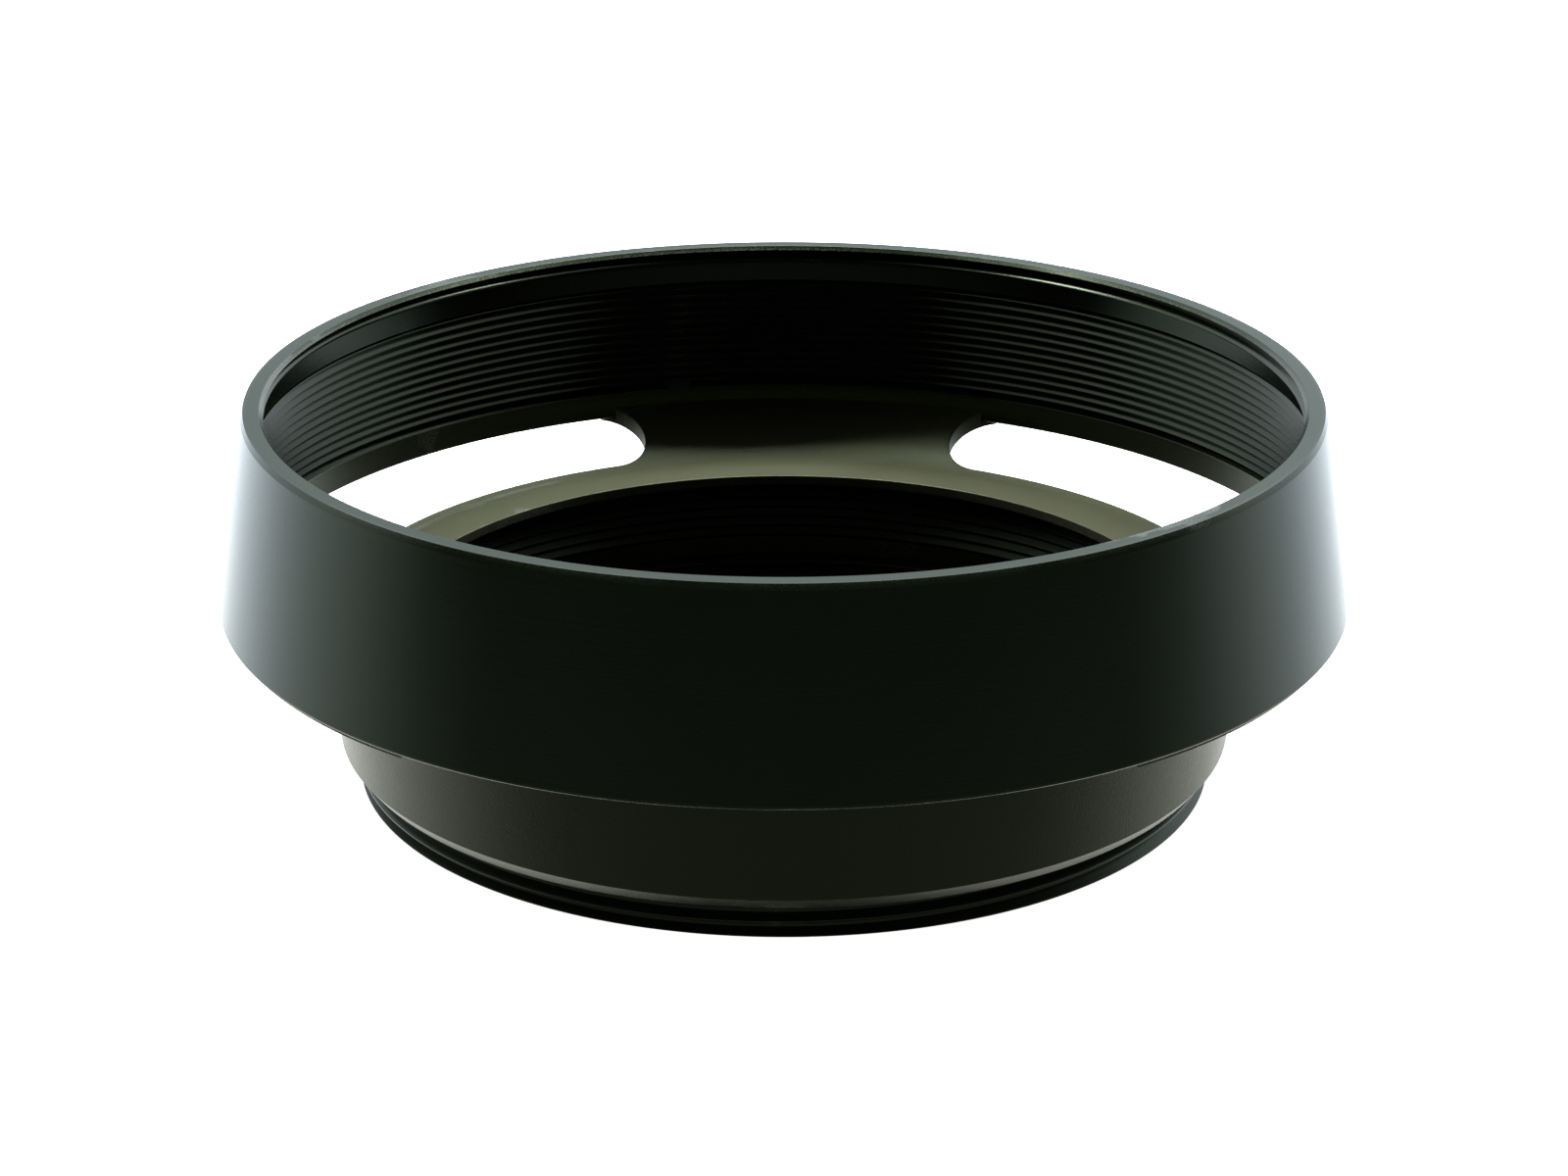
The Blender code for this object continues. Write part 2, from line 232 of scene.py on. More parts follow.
def iso_shape(crest_flat, root_flat):
    """A 60 degree thread with flats at crest and root, given as shares of the pitch."""
    crest = 0.5 * crest_flat
    root = 0.5 - 0.5 * root_flat
    edge = 0.025
    eased = 0.08
    half = [(0.0, 0.0), (crest - edge, 0.0), (crest + edge, eased), (0.5 * (crest + root), 0.5),
            (root - edge, 1.0 - eased), (root + edge, 1.0)]
    return half + [(1.0 - phase, share) for phase, share in reversed(half[1:])]


def thread_columns(thread, columns):
    """Radii and heights of a right-hand thread, one row of each array for one row of the thread."""
    offsets = np.array([row[0] for row in thread["rows"]])[:, None]
    shares = np.array([row[1] for row in thread["rows"]])[:, None]
    turns = offsets - np.arange(columns)[None, :] / columns + 0.5
    heights = thread["crest_z"] - thread["pitch"] * turns
    heights = soft_limit(heights, *thread["top"])
    heights = soft_limit(heights, *thread["bottom"])
    finish = ramp(turns, *thread["fade_out"])
    depth = shares * ramp(turns, *thread["fade_in"]) * (1.0 - finish) + thread["end_share"] * finish
    drop = np.maximum(0.0, thread["crest_z"] - heights)
    return thread["crest_r"] + thread["taper"] * drop + thread["depth"] * depth, heights


def strip(upper, lower):
    """Quads between two rings of vertex numbers, all the way round."""
    return np.stack([upper, lower, np.roll(lower, -1), np.roll(upper, -1)], axis=1)


def thread_faces(grid, above, below, shift):
    """Faces of a thread and of its joints to the plain edges above and below it."""
    rows = len(grid)
    faces = []
    for upper, lower in zip([above, *grid], [*grid, below]):
        faces.append(strip(upper, lower)[:-1])
    last = grid[:, -1]
    first = grid[:, 0]
    seam = [(last[row], last[row + 1], first[row + 1 - shift], first[row - shift])
            for row in range(shift, rows - 1)]
    faces.append(np.array(seam))
    top_chain = [first[0], *last[shift::-1], above[-1]]
    bottom_chain = [last[-1], *first[rows - 1 - shift:], below[0]]
    fans = [(above[0], one, two) for one, two in zip(top_chain, top_chain[1:])]
    fans += [(below[-1], one, two) for one, two in zip(bottom_chain, bottom_chain[1:])]
    return faces, fans


def new_piece(name, vertices, faces, node, material, sharp):
    """A mesh that stands for a CAD node, in metres."""
    mesh = bpy.data.meshes.new(name)
    mesh.from_pydata((np.asarray(vertices) * MM).tolist(), [], faces)
    work = bmesh.new()
    work.from_mesh(mesh)
    bmesh.ops.recalc_face_normals(work, faces=work.faces)
    work.to_mesh(mesh)
    work.free()
    mesh.shade_smooth()
    mesh.set_sharp_from_angle(angle=math.radians(sharp))
    mesh.materials.append(material)
    piece = bpy.data.objects.new(name, mesh)
    bpy.context.scene.collection.objects.link(piece)
    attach(piece, "root")
    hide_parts(node)
    return piece


def turned_piece(name, profile, first_azimuth, node, material):
    """Sweep a closed profile of plain edges and threads round the axis."""
    azimuths = np.radians(first_azimuth) + 2.0 * np.pi * np.arange(COLUMNS) / COLUMNS
    grids = []
    vertices = []
    count = 0
    for element in profile:
        if "pitch" in element:
            radii, heights = thread_columns(element, COLUMNS)
        else:
            radii = np.full((1, COLUMNS), element["radius"])
            heights = np.full((1, COLUMNS), element["height"])
        place = np.stack([radii * np.cos(azimuths), radii * np.sin(azimuths), heights], axis=2)
        vertices.append(place.reshape(-1, 3))
        grids.append(count + np.arange(radii.size).reshape(radii.shape))
        count += radii.size
    quads = []
    triangles = []
    for index, element in enumerate(profile):
        following = (index + 1) % len(profile)
        if "pitch" in element:
            above = grids[index - 1][0]
            below = grids[following][0]
            more, fans = thread_faces(grids[index], above, below, element["shift"])
            quads += more
            triangles += fans
        elif "pitch" not in profile[following]:
            quads.append(strip(grids[index][0], grids[following][0]))
    faces = np.concatenate(quads).tolist() + [tuple(int(v) for v in face) for face in triangles]
    return new_piece(name, np.concatenate(vertices), faces, node, material, TURNED_SHARP)


# ---------------------------------------------------------------- the pieces
# A thread's "top" and "bottom" are the level where its crests start to crowd together and the
# level that they never pass. "fade_in" and "fade_out" are the turns over which it runs in and out.
def bell(material):
    front_shape = iso_shape(FRONT_CREST_FLAT, FRONT_ROOT_FLAT)
    front_thread = {
        "rows": repeat_rows(front_shape, -0.90, 0.46),
        "shift": len(front_shape),
        "pitch": FRONT_PITCH,
        "crest_z": FRONT_CREST_Z,
        "crest_r": FRONT_CREST_R,
        "depth": FRONT_DEPTH,
        "taper": 0.0,
        "top": (RIM_Z - 0.36, RIM_Z - RIM_LEAD - 0.01),
        "bottom": (RELIEF_TOP_Z + 0.15, RELIEF_TOP_Z + 0.03),
        "fade_in": (-1.20, -0.90),
        "fade_out": (0.25, 0.48),
        "end_share": 1.0,
    }
    baffle_shape = v_shape(BAFFLE_EDGE, BAFFLE_ROOT)
    baffle_end = BELL_BAFFLE_TURNS - 0.5
    baffle_thread = {
        "rows": repeat_rows(baffle_shape, -0.5, baffle_end),
        "shift": len(baffle_shape),
        "pitch": BELL_BAFFLE_PITCH,
        "crest_z": BELL_BAFFLE_CREST_Z,
        "crest_r": BELL_BAFFLE_CREST_R,
        "depth": BELL_BAFFLE_DEPTH,
        "taper": BELL_BAFFLE_TAPER,
        "top": (RELIEF_FOOT_Z - 0.10, RELIEF_FOOT_Z - 0.01),
        "bottom": (BELL_BAFFLE_CREST_Z - BELL_BAFFLE_PITCH * baffle_end, SEAT_SHOULDER_Z + 0.05),
        "fade_in": (-0.98, -0.75),
        "fade_out": (baffle_end + 0.2, baffle_end + 0.45),
        "end_share": 0.0,
    }
    wall_step = (SKIRT_CORNER_R - RIM_BEVEL_R) / WALL_STEPS
    wall_rise = (RIM_Z - RIM_BEVEL - SKIRT_Z) / WALL_STEPS
    wall = [(SKIRT_CORNER_R - wall_step * step, SKIRT_Z + wall_rise * step) for step in range(1, WALL_STEPS)]
    profile = rounded(
        (RIM_FACE_R[0], RIM_Z),
        (FRONT_CREST_R + RIM_LEAD, RIM_Z, LEAD_EDGE),
        (FRONT_CREST_R, RIM_Z - RIM_LEAD),
    )
    profile.append(front_thread)
    profile += rounded((RELIEF_TOP_R, RELIEF_TOP_Z), (RELIEF_FOOT_R, RELIEF_FOOT_Z))
    profile.append(baffle_thread)
    profile += rounded(
        (SEAT_LAND_R, SEAT_SHOULDER_Z + 2.0 * LAND_EDGE),
        (SEAT_LAND_R, SEAT_SHOULDER_Z, LAND_EDGE),
        (SEAT_R, SEAT_SHOULDER_Z),
        (SEAT_R, SKIRT_Z, SEAT_EDGE),
        (SKIRT_CORNER_R, SKIRT_Z, SKIRT_EDGE),
        *wall,
        (RIM_BEVEL_R, RIM_Z - RIM_BEVEL, BEVEL_EDGE),
        (RIM_OUTER_R, RIM_Z, RIM_EDGE),
    )
    profile.append(plain(RIM_FACE_R[1], RIM_Z))
    return turned_piece("front_bell_turned", profile, FACING_MINUS_Y, "front_bell", material)


def barrel(material):
    seat_z = MOUNT_TOP_Z + HAIRLINE
    top_z = HUB_FLOOR_Z - HAIRLINE
    seat_r = MOUNT_R + HAIRLINE
    shape = v_shape(BAFFLE_EDGE, BAFFLE_ROOT)
    baffle_end = BORE_BAFFLE_TURNS - 0.5
    baffle_thread = {
        "rows": repeat_rows(shape, -0.5, baffle_end),
        "shift": len(shape),
        "pitch": BORE_BAFFLE_PITCH,
        "crest_z": BORE_BAFFLE_CREST_Z,
        "crest_r": BORE_R,
        "depth": BORE_BAFFLE_DEPTH,
        "taper": 0.0,
        "top": (BARREL_TOP_Z - 0.25, BARREL_TOP_Z - 0.08),
        "bottom": (seat_z + 0.30, seat_z + 0.15),
        "fade_in": (-0.98, -0.75),
        "fade_out": (baffle_end + 0.2, baffle_end + 0.45),
        "end_share": 0.0,
    }
    profile = rounded(
        (BARREL_TOP_FACE_R[0], top_z),
        (BORE_R, top_z, BORE_EDGE),
        (BORE_R, top_z - 2.0 * BORE_EDGE),
    )
    profile.append(baffle_thread)
    profile += rounded(
        (BORE_R, seat_z + 0.05),
        (BORE_R, seat_z, BORE_FOOT_EDGE),
        (seat_r, seat_z),
        (seat_r, BARREL_FOOT_Z, BARREL_SEAT_EDGE),
        (BARREL_FACE_R, BARREL_FOOT_Z, BARREL_FACE_EDGE),
        (BARREL_R, BARREL_CHAMFER_Z, BARREL_CHAMFER_EDGE),
        (BARREL_R, 0.5 * (BARREL_CHAMFER_Z + top_z)),
        (BARREL_R, top_z, BARREL_TOP_EDGE),
        (BARREL_TOP_FACE_R[1], top_z),
    )
    return turned_piece("neck_barrel_turned", profile, FACING_MINUS_Y, "neck_barrel", material)


def mount(material):
    shape = iso_shape(MOUNT_CREST_FLAT, MOUNT_ROOT_FLAT)
    thread = {
        "rows": repeat_rows(shape, -0.70, 1.66),
        "shift": len(shape),
        "pitch": MOUNT_PITCH,
        "crest_z": MOUNT_CREST_Z,
        "crest_r": MOUNT_R,
        "depth": -MOUNT_DEPTH,
        "taper": 0.0,
        "top": (MOUNT_THREAD_TOP_Z - 0.05, MOUNT_THREAD_TOP_Z - 0.01),
        "bottom": (MOUNT_FOOT_Z + 0.32, MOUNT_FOOT_Z + 0.10),
        "fade_in": (-1.10, -0.80),
        "fade_out": (1.85, 2.10),
        "end_share": 0.0,
    }
    groove_shape = v_shape(TURNING_GROOVE_EDGE, TURNING_GROOVE_ROOT)
    grooves = {
        "rows": repeat_rows(groove_shape, 0.5, TURNING_GROOVES - 0.5),
        "shift": len(groove_shape),
        "pitch": -TURNING_GROOVE_PITCH,
        "crest_z": MOUNT_FOOT_Z + 0.10,
        "crest_r": MOUNT_BORE_R,
        "depth": TURNING_GROOVE_DEPTH,
        "taper": 0.0,
        "top": (MOUNT_TOP_Z - 0.2, MOUNT_TOP_Z - 0.1),
        "bottom": (MOUNT_FOOT_Z + 0.15, MOUNT_FOOT_Z + 0.08),
        "fade_in": (0.0, 0.25),
        "fade_out": (TURNING_GROOVES - 0.3, TURNING_GROOVES),
        "end_share": 0.0,
    }
    profile = rounded(
        (MOUNT_BORE_R, MOUNT_TOP_Z - 0.08),
        (MOUNT_BORE_R, MOUNT_TOP_Z, MOUNT_EDGE),
        (MOUNT_R, MOUNT_TOP_Z, MOUNT_SHOULDER_EDGE),
        (MOUNT_R, MOUNT_THREAD_TOP_Z),
    )
    profile.append(thread)
    profile += rounded(
        (MOUNT_R, MOUNT_FOOT_Z + 0.08),
        (MOUNT_R, MOUNT_FOOT_Z, MOUNT_EDGE),
        (MOUNT_BORE_R, MOUNT_FOOT_Z, MOUNT_EDGE),
        (MOUNT_BORE_R, MOUNT_FOOT_Z + 0.06),
    )
    profile.append(grooves)
    return turned_piece("mount_ring_turned", profile, FACING_PLUS_Y, "mount_ring", material)


def shelf_top(radius):
    """Upper surface of the vent ring along a radius: hub edge, flat ledge, fillet, cone."""
    fillet_start_r = WEB_CREASE_R - WEB_FILLET * math.tan(0.5 * WEB_SLOPE)
    if radius < SHELF_R + SHELF_CHAMFER:
        across = SHELF_R + SHELF_CHAMFER - radius
        return SHELF_Z - SHELF_CHAMFER + math.sqrt(max(SHELF_CHAMFER ** 2 - across ** 2, 0.0))
    if radius < fillet_start_r:
        return SHELF_Z
    if radius < fillet_start_r + WEB_FILLET * math.sin(WEB_SLOPE):
        return SHELF_Z + WEB_FILLET - math.sqrt(WEB_FILLET ** 2 - (radius - fillet_start_r) ** 2)
    if radius <= SEAT_R - HAIRLINE:
        return SHELF_Z + (radius - WEB_CREASE_R) * math.tan(WEB_SLOPE)
    return SKIRT_Z - HAIRLINE


def web_floor(radius):
    """Lower surface of the vent ring along a radius: seat for the barrel, collar, cone."""
    if radius < BARREL_R + HAIRLINE:
        return HUB_FLOOR_Z
    if radius < COLLAR_R:
        return COLLAR_FOOT_Z
    rise = (WEB_FOOT_Z - COLLAR_FOOT_Z) / (SEAT_R - COLLAR_R)
    return COLLAR_FOOT_Z + rise * (radius - COLLAR_R)


def slot_tangents():
    """Azimuths between which each web is joined to the hub."""
    reach = 0.5 * WEB_WIDTH + math.degrees(SLOT_END_R / SLOT_MIDDLE_R)
    centres = [WEB_AZIMUTH + 360.0 * index / WEB_COUNT for index in range(WEB_COUNT)]
    return [(centre - reach, centre + reach) for centre in centres]


def slot_distance(radius, azimuth):
    """Distance from a point of the vent ring to the nearest slot outline."""
    nearest = math.inf
    tangents = slot_tangents()
    for index, (_, first) in enumerate(tangents):
        last = tangents[(index + 1) % WEB_COUNT][0] % 360.0
        width = (last - first) % 360.0
        along = (azimuth - first) % 360.0
        if along <= width:
            distance = abs(radius - SLOT_MIDDLE_R) - SLOT_END_R
        else:
            beyond = math.radians(min(along - width, 360.0 - along))
            square = radius ** 2 + SLOT_MIDDLE_R ** 2 - 2.0 * radius * SLOT_MIDDLE_R * math.cos(beyond)
            distance = math.sqrt(max(square, 0.0)) - SLOT_END_R
        nearest = min(nearest, distance)
    return max(nearest, 0.0)


def edge_drop(distance):
    """How far a surface falls away beside a slot's rounded edge."""
    if distance >= SLOT_EDGE:
        return 0.0
    return SLOT_EDGE - math.sqrt(SLOT_EDGE ** 2 - (SLOT_EDGE - distance) ** 2)


def slot_bulge(radius):
    """Angle by which a slot's round end reaches into the web at this radius."""
    if radius >= SLOT_MIDDLE_R + SLOT_END_R:
        return 0.0
    cosine = (radius ** 2 + SLOT_MIDDLE_R ** 2 - SLOT_END_R ** 2) / (2.0 * radius * SLOT_MIDDLE_R)
    return math.degrees(math.acos(min(1.0, cosine)))


def ring_columns():
    """Azimuths of the vent ring's columns, each with its web or None, closest at the webs' edges."""
    near_edge = [0.0, 0.001, 0.0025, 0.005, 0.009, 0.015, 0.025, 0.04, 0.06]
    middle = list(np.linspace(0.09, 0.91, WEB_COLUMNS))
    web_shares = near_edge + middle + [1.0 - share for share in reversed(near_edge)]
    columns = []
    tangents = slot_tangents()
    for index, (first, last) in enumerate(tangents):
        columns += [(first + (last - first) * share, index) for share in web_shares]
        following = tangents[(index + 1) % WEB_COUNT][0] + (360.0 if index == WEB_COUNT - 1 else 0.0)
        gap = following - last
        columns += [(last + gap * step / SLOT_COLUMNS, None) for step in range(1, SLOT_COLUMNS)]
    return columns


def vent(material):
    """Hub ring and webs, built column by column so that the slots' edges follow their true outline."""
    inner = SLOT_MIDDLE_R - SLOT_END_R
    fine = [0.0, 0.004, 0.012, 0.025, 0.04, 0.06, 0.09, 0.13, 0.2, 0.35]
    chamfer_end = SHELF_R + SHELF_CHAMFER
    hub_radii = [SHELF_R, SHELF_R + 0.003, SHELF_R + 0.012, SHELF_R + 0.03, chamfer_end, chamfer_end + 0.02,
                 20.2, 20.8, 21.4, 21.8, 22.0, 22.2, BARREL_R, BARREL_R + HAIRLINE,
                 BARREL_R + HAIRLINE + 0.001, 22.6, 22.7]
    hub_radii += [inner - step for step in reversed(fine)]
    hub_radii = sorted(set(hub_radii + [COLLAR_R - 0.001, COLLAR_R]))
    seat = SEAT_R - HAIRLINE
    web_radii = [inner + step for step in fine[1:]] + list(np.arange(inner + 0.5, 26.9, 0.12))
    web_radii += list(np.arange(26.9, seat, 0.04)) + [seat, seat + 0.001, 27.6, 27.7, 27.8, LIP_R]
    columns = ring_columns()
    tangents = slot_tangents()
    vertices = []

    def add(radius, azimuth, height):
        angle = math.radians(azimuth)
        vertices.append((radius * math.cos(angle), radius * math.sin(angle), height))
        return len(vertices) - 1

    def add_pair(radius, azimuth):
        drop = edge_drop(slot_distance(radius, azimuth))
        thickness = shelf_top(radius) - web_floor(radius)
        drop = min(drop, EDGE_LIMIT * thickness)
        upper = add(radius, azimuth, shelf_top(radius) - drop)
        lower = add(radius, azimuth, web_floor(radius) + drop)
        return upper, lower

    hub = [[add_pair(radius, azimuth) for radius in hub_radii] for azimuth, _ in columns]
    faces = []

    def join(left, right, row):
        for side in (0, 1):
            faces.append((left[row][side], left[row + 1][side], right[row + 1][side], right[row][side]))

    def wall(left, right):
        faces.append((left[0], left[1], right[1], right[0]))

    for index, (azimuth, web) in enumerate(columns):
        here = hub[index]
        there = hub[(index + 1) % len(columns)]
        for row in range(len(hub_radii) - 1):
            join(here, there, row)
        wall(here[0], there[0])
        next_web = columns[(index + 1) % len(columns)][1]
        if web is None or next_web is None:
            wall(here[-1], there[-1])
    for web, (first, last) in enumerate(tangents):
        members = [index for index, column in enumerate(columns) if column[1] == web]
        strips = []
        for index in members:
            share = (columns[index][0] - first) / (last - first)
            rows = [hub[index][-1]]
            for radius in web_radii:
                bulge = slot_bulge(radius)
                azimuth = first + bulge + (last - first - 2.0 * bulge) * share
                rows.append(add_pair(radius, azimuth))
            strips.append(rows)
        for left, right in zip(strips, strips[1:]):
            for row in range(len(web_radii)):
                join(left, right, row)
            wall(left[-1], right[-1])
        for side in (strips[0], strips[-1]):
            for row in range(len(web_radii)):
                wall(side[row], side[row + 1])
    return new_piece("vent_ring_machined", vertices, faces, "vent_ring", material, SLOTTED_SHARP)


# ---------------------------------------------------------------- black anodised aluminium
OXIDE_TINT = (0.84, 1.0, 0.66)   # colour of the oxide's reflection seen square on
OXIDE_IOR = 1.5
CLOUD_SCALE = 140.0              # noise scales, per metre
GRAIN_SCALE = 9000.0
SPECK_SCALE = 5200.0
MARK_SCALE = 9000.0
TONE_RANGE = (0.38, 0.62)        # noise levels of the darkest and the lightest dye
CLOUD_ROUGHNESS = 0.10           # how far the cloud and the specks change the roughness
SPECK_ROUGHNESS = 0.08
BUMP_HEIGHT = 0.00002            # metres
WORN_COLOUR = (0.062, 0.064, 0.056)
WEAR_BEND = (0.52, 0.60)         # how sharply a surface turns outwards before it wears
WEAR_PATCHES = (0.42, 0.60)

# Colour of the dye at its darkest and lightest, roughness, strength of the tool marks and grain
FINISHES = {
    "bell black": ((0.0036, 0.0064, 0.0018), (0.0058, 0.0088, 0.0034), 0.18, 0.12, 0.20),
    "vent ring black": ((0.0235, 0.0212, 0.0100), (0.0305, 0.0276, 0.0135), 0.54, 0.10, 0.7),
    "neck black": ((0.0080, 0.0110, 0.0030), (0.0125, 0.0155, 0.0055), 0.34, 0.25, 0.7),
    "mount ring black": ((0.0050, 0.0070, 0.0030), (0.0090, 0.0110, 0.0055), 0.34, 0.35, 0.3),
}


def add_node(tree, kind, **settings):
    node = tree.nodes.new(kind)
    for name, value in settings.items():
        setattr(node, name, value)
    return node


def math_node(tree, operation, first, second=None):
    node = add_node(tree, "ShaderNodeMath", operation=operation)
    for socket, value in zip(node.inputs, (first, second)):
        if isinstance(value, (int, float)):
            socket.default_value = value
        elif value is not None:
            tree.links.new(value, socket)
    return node.outputs[0]


def ramp_node(tree, source, stops):
    node = add_node(tree, "ShaderNodeValToRGB")
    elements = node.color_ramp.elements
    while len(elements) < len(stops):
        elements.new(0.5)
    for element, (position, colour) in zip(elements, stops):
        element.position = position
        element.color = (*colour, 1.0)
    tree.links.new(source, node.inputs["Fac"])
    return node.outputs["Color"]


def soft_step(tree, source, start, end, easing="SMOOTHSTEP"):
    """Nought at the start and one at the end; the source may fall from the start to the end."""
    node = add_node(tree, "ShaderNodeMapRange", interpolation_type=easing)
    node.inputs["From Min"].default_value = min(start, end)
    node.inputs["From Max"].default_value = max(start, end)
    node.inputs["To Min"].default_value = 0.0 if start < end else 1.0
    node.inputs["To Max"].default_value = 1.0 if start < end else 0.0
    tree.links.new(source, node.inputs["Value"])
    return node.outputs["Result"]


def mixed_colour(tree, first, second, share):
    """Two colours, each a socket or a plain value, mixed by the share of the second."""
    node = add_node(tree, "ShaderNodeMix", data_type="RGBA")
    tree.links.new(share, node.inputs["Factor"])
    for slot, colour in (("A", first), ("B", second)):
        if isinstance(colour, tuple):
            node.inputs[slot].default_value = (*colour, 1.0)
        else:
            tree.links.new(colour, node.inputs[slot])
    return node.outputs["Result"]


def noise(tree, vector, scale, detail, roughness=0.5):
    node = add_node(tree, "ShaderNodeTexNoise")
    node.inputs["Scale"].default_value = scale
    node.inputs["Detail"].default_value = detail
    node.inputs["Roughness"].default_value = roughness
    tree.links.new(vector, node.inputs["Vector"])
    return node.outputs["Fac"]


def flat_length(tree, x, y):
    square = math_node(tree, "ADD", math_node(tree, "POWER", x, 2.0), math_node(tree, "POWER", y, 2.0))
    return math_node(tree, "SQRT", square)


def lathe_coordinates(tree, position):
    """Coordinates in which the tool marks run: slow round the axis, quick along and across it."""
    axes = add_node(tree, "ShaderNodeSeparateXYZ")
    tree.links.new(position, axes.inputs[0])
    x, y, z = axes.outputs
    radius = flat_length(tree, x, y)
    around = add_node(tree, "ShaderNodeCombineXYZ")
    tree.links.new(math_node(tree, "DIVIDE", x, radius), around.inputs[0])
    tree.links.new(math_node(tree, "DIVIDE", y, radius), around.inputs[1])
    across = math_node(tree, "MULTIPLY", math_node(tree, "ADD", radius, z), MARK_SCALE)
    tree.links.new(across, around.inputs[2])
    return around.outputs[0]


def worn_edges(tree, patches):
    """Share of rubbed oxide: the outward corners only, broken up into patches."""
    bend = add_node(tree, "ShaderNodeNewGeometry").outputs["Pointiness"]
    corners = soft_step(tree, bend, *WEAR_BEND)
    return math_node(tree, "MULTIPLY", corners, soft_step(tree, patches, *WEAR_PATCHES))


def bump(tree, height, strength):
    node = add_node(tree, "ShaderNodeBump")
    node.inputs["Strength"].default_value = strength
    node.inputs["Distance"].default_value = BUMP_HEIGHT
    tree.links.new(height, node.inputs["Height"])
    return node


def black_anodised(name):
    """Dyed oxide over turned metal: uneven black, matt grain, faint tool marks, rubbed corners."""
    dark, light, roughness, mark_strength, grain_strength = FINISHES[name]
    material = bpy.data.materials.new(name)
    material.use_nodes = True
    tree = material.node_tree
    shader = tree.nodes["Principled BSDF"]
    shader.inputs["Metallic"].default_value = 0.0
    shader.inputs["IOR"].default_value = OXIDE_IOR
    shader.inputs["Specular Tint"].default_value = (*OXIDE_TINT, 1.0)
    position = add_node(tree, "ShaderNodeTexCoord").outputs["Object"]
    lathe = lathe_coordinates(tree, position)

    cloud = noise(tree, position, CLOUD_SCALE, 5.0)
    grain = noise(tree, position, GRAIN_SCALE, 3.0, 0.65)
    tone = math_node(tree, "ADD", math_node(tree, "MULTIPLY", cloud, 0.5),
                     math_node(tree, "MULTIPLY", grain, 0.5))
    dyed = ramp_node(tree, tone, [(TONE_RANGE[0], dark), (TONE_RANGE[1], light)])
    worn = mixed_colour(tree, dyed, WORN_COLOUR, worn_edges(tree, tone))
    tree.links.new(worn, shader.inputs["Base Color"])

    speck = noise(tree, position, SPECK_SCALE, 2.0)
    uneven = math_node(tree, "ADD", math_node(tree, "MULTIPLY", cloud, CLOUD_ROUGHNESS),
                       math_node(tree, "MULTIPLY", speck, SPECK_ROUGHNESS))
    smoothest = roughness - 0.5 * (CLOUD_ROUGHNESS + SPECK_ROUGHNESS)
    tree.links.new(math_node(tree, "ADD", uneven, smoothest), shader.inputs["Roughness"])

    fine = bump(tree, grain, grain_strength)
    cut = bump(tree, noise(tree, lathe, 1.0, 3.0, 0.6), mark_strength)
    tree.links.new(fine.outputs["Normal"], cut.inputs["Normal"])
    tree.links.new(cut.outputs["Normal"], shader.inputs["Normal"])
    return material


# ---------------------------------------------------------------- light tent and camera
# The tent's light is given by direction. Azimuths run from the camera's side, 0, to behind the
# hood, 180, and heights are those of a direction one unit long. A pair of values is the start
# and the end of an eased change.
TENT_TURN = 5.0                  # the tent stands turned a little against the camera
WALL_COLOUR = (0.85, 0.96, 1.07)
TABLE_COLOUR = (0.98, 0.98, 0.91)
UPPER_COLOUR = (0.95, 1.0, 0.99)
TENT_WALL = [(0.0, 0.08), (40.0, 0.06), (66.0, 0.01), (81.0, 0.02), (88.0, 0.32), (98.0, 0.70),
             (110.0, 1.02), (125.0, 1.15), (142.0, 1.2), (160.0, 1.3), (180.0, 0.85)]
TENT_TABLE = [(0.0, 0.20), (50.0, 0.23), (66.0, 0.20), (82.0, 0.42), (100.0, 0.88), (117.0, 1.22),
              (160.0, 2.2)]
TENT_UPPER = [(0.0, 0.0), (54.0, 0.0), (66.0, 0.42), (82.0, 0.8), (100.0, 1.4), (125.0, 1.3),
              (150.0, 1.1), (180.0, 1.2)]
BRIGHTEST = 3.0                  # no level in the three lists is higher
WALL_FOOT = (-0.22, -0.04)       # heights between which the table gives way to the wall
UPPER_FOOT = (0.45, 0.85)        # heights between which the wall gives way to the upper tent
TENT_TOP = (0.985, 0.90)         # the tent is open, and dark, straight overhead
TABLE_SHADOW = (-0.98, -0.86)    # the hood's own shadow on the table
TABLE_EDGE = (-0.42, -0.24)      # heights between which the table's colour turns to the wall's
LOWEST_OVERHEAD = 0.05           # guards against dividing by nought
SHORTEST_ACROSS = 0.001
BOX_NEAR = (0.14, 0.18)          # the lamp window overhead: metres back for each metre up
BOX_FAR = (0.46, 0.27)
BOX_SIDE = (0.8, 0.4)
BOX_LEVEL = 54.0
BACKDROP_LEVEL = 1.02            # just past white, as the camera sees the tent
WHITE = (1.0, 1.0, 1.0)

FLOOR_REACH = 3.0                # metres
FLOOR_COLOUR = (0.9, 0.9, 0.9)
FLOOR_DROP = 0.0001              # metres below the hood's rear face
SHADOW_DROP = 0.00005
SHADOW_CORNERS = 64
SHADOW_MARGIN = 0.3              # millimetres inside the mount ring's bore

CAMERA_SENSOR = 36.0             # millimetres
CAMERA_LENS = 92.0
CAMERA_NEAREST = 0.01
CAMERA_PLACE = (0.0, -0.18841, 0.08143)
CAMERA_TILT = 68.98


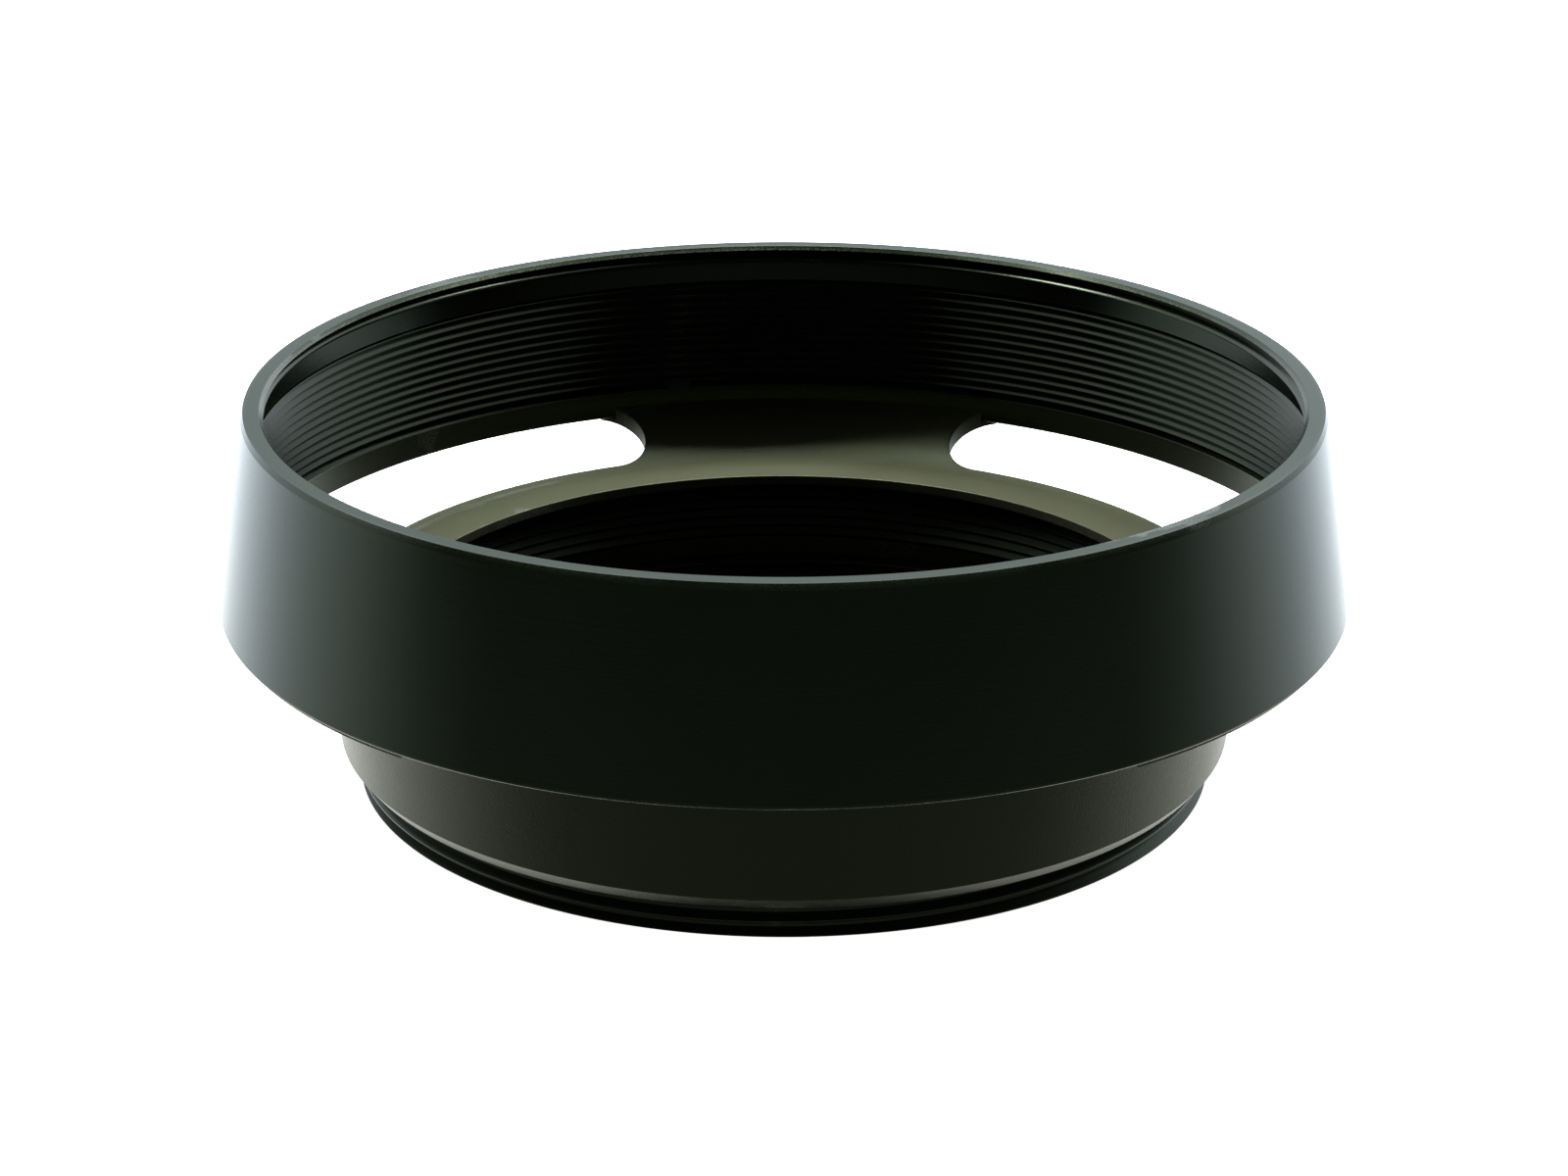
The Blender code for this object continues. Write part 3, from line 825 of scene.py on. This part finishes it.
def stage_mesh(name, vertices, faces, colour, strength):
    mesh = bpy.data.meshes.new(name)
    mesh.from_pydata(vertices, [], faces)
    material = bpy.data.materials.new(name)
    material.use_nodes = True
    shader = material.node_tree.nodes["Principled BSDF"]
    shader.inputs["Base Color"].default_value = (*colour, 1.0)
    shader.inputs["Roughness"].default_value = 1.0
    shader.inputs["Specular IOR Level"].default_value = 0.0
    shader.inputs["Emission Color"].default_value = (*WHITE, 1.0)
    shader.inputs["Emission Strength"].default_value = strength
    mesh.materials.append(material)
    item = bpy.data.objects.new(name, mesh)
    bpy.context.scene.collection.objects.link(item)
    return item


def floor():
    """A pale table that the camera sees, while the tent gives all the light from below."""
    corners = [(FLOOR_REACH * x, FLOOR_REACH * y, 0.0) for x, y in ((-1, -1), (1, -1), (1, 1), (-1, 1))]
    item = stage_mesh("pale_floor", corners, [(0, 1, 2, 3)], FLOOR_COLOUR, 1.0)
    item.location.z = -FLOOR_DROP
    item.visible_glossy = False
    item.visible_diffuse = False


def shadow_under_bore():
    """Keeps light from below out of the bore, as the table under the hood does."""
    turns = [2.0 * math.pi * step / SHADOW_CORNERS for step in range(SHADOW_CORNERS)]
    reach = (MOUNT_BORE_R - SHADOW_MARGIN) * MM
    corners = [(reach * math.cos(turn), reach * math.sin(turn), 0.0) for turn in turns]
    disc = [tuple(range(SHADOW_CORNERS))]
    item = stage_mesh("shadow_under_bore", corners, disc, (0.0, 0.0, 0.0), 0.0)
    item.location.z = -SHADOW_DROP
    item.visible_camera = False


def facing(azimuth):
    """Place of an azimuth on a light ramp: nought on the camera's side, one behind the hood."""
    return 0.5 - 0.5 * math.cos(math.radians(azimuth))


def tent_ramp(tree, behind, levels):
    """Brightness round the tent, from a list of azimuths and levels."""
    stops = [(facing(azimuth), (level / BRIGHTEST,) * 3) for azimuth, level in levels]
    return math_node(tree, "MULTIPLY", ramp_node(tree, behind, stops), BRIGHTEST)


def blend(tree, lower, upper, share):
    """Two levels mixed by the share of the upper one."""
    kept = math_node(tree, "MULTIPLY", lower, math_node(tree, "SUBTRACT", 1.0, share))
    return math_node(tree, "ADD", kept, math_node(tree, "MULTIPLY", upper, share))


def lamp_window(tree, x, depth, z):
    """Light of the soft box overhead, behind the hood as the camera sees it."""
    overhead = math_node(tree, "MAXIMUM", z, LOWEST_OVERHEAD)
    back = math_node(tree, "DIVIDE", depth, overhead)
    aside = math_node(tree, "ABSOLUTE", math_node(tree, "DIVIDE", x, overhead))
    window = math_node(tree, "MULTIPLY", soft_step(tree, back, *BOX_NEAR), soft_step(tree, back, *BOX_FAR))
    window = math_node(tree, "MULTIPLY", window, soft_step(tree, aside, *BOX_SIDE))
    return math_node(tree, "MULTIPLY", window, BOX_LEVEL)


def tent():
    """A white light tent, open and dark on the camera's side, seen by the camera as plain white."""
    world = bpy.data.worlds.new("white tent")
    bpy.context.scene.world = world
    world.use_nodes = True
    tree = world.node_tree
    axes = add_node(tree, "ShaderNodeSeparateXYZ")
    tree.links.new(add_node(tree, "ShaderNodeTexCoord").outputs["Generated"], axes.inputs[0])
    x, y, z = axes.outputs
    turn = math.radians(TENT_TURN)
    depth = math_node(tree, "SUBTRACT", math_node(tree, "MULTIPLY", y, math.cos(turn)),
                      math_node(tree, "MULTIPLY", x, math.sin(turn)))
    across = math_node(tree, "MAXIMUM", flat_length(tree, x, y), SHORTEST_ACROSS)
    behind = math_node(tree, "DIVIDE", depth, across)
    behind = math_node(tree, "MULTIPLY", math_node(tree, "ADD", behind, 1.0), 0.5)

    wall = tent_ramp(tree, behind, TENT_WALL)
    table = tent_ramp(tree, behind, TENT_TABLE)
    table = math_node(tree, "MULTIPLY", table, soft_step(tree, z, *TABLE_SHADOW))
    upper = tent_ramp(tree, behind, TENT_UPPER)
    upper = math_node(tree, "MULTIPLY", upper, soft_step(tree, z, *TENT_TOP))
    into_wall = soft_step(tree, z, *WALL_FOOT, easing="LINEAR")
    into_upper = soft_step(tree, z, *UPPER_FOOT, easing="LINEAR")
    light = blend(tree, blend(tree, table, wall, into_wall), upper, into_upper)
    light = math_node(tree, "ADD", light, lamp_window(tree, x, depth, z))
    sides = mixed_colour(tree, TABLE_COLOUR, WALL_COLOUR, soft_step(tree, z, *TABLE_EDGE))
    tint = mixed_colour(tree, sides, UPPER_COLOUR, into_upper)

    camera_ray = add_node(tree, "ShaderNodeLightPath").outputs["Is Camera Ray"]
    background = tree.nodes["Background"]
    seen = math_node(tree, "MULTIPLY", camera_ray, BACKDROP_LEVEL)
    tree.links.new(blend(tree, light, seen, camera_ray), background.inputs["Strength"])
    tree.links.new(mixed_colour(tree, tint, WHITE, camera_ray), background.inputs["Color"])


def studio():
    tent()
    floor()
    shadow_under_bore()
    scene = bpy.context.scene
    scene.view_settings.view_transform = "Standard"
    scene.view_settings.look = "None"


def camera():
    data = bpy.data.cameras.new("camera")
    data.sensor_width = CAMERA_SENSOR
    data.lens = CAMERA_LENS
    data.clip_start = CAMERA_NEAREST
    item = bpy.data.objects.new("camera", data)
    item.location = CAMERA_PLACE
    item.rotation_euler = (math.radians(CAMERA_TILT), 0.0, 0.0)
    bpy.context.scene.collection.objects.link(item)
    bpy.context.scene.camera = item


def main():
    bell(black_anodised("bell black"))
    vent(black_anodised("vent ring black"))
    barrel(black_anodised("neck black"))
    mount(black_anodised("mount ring black"))
    studio()
    camera()


main()
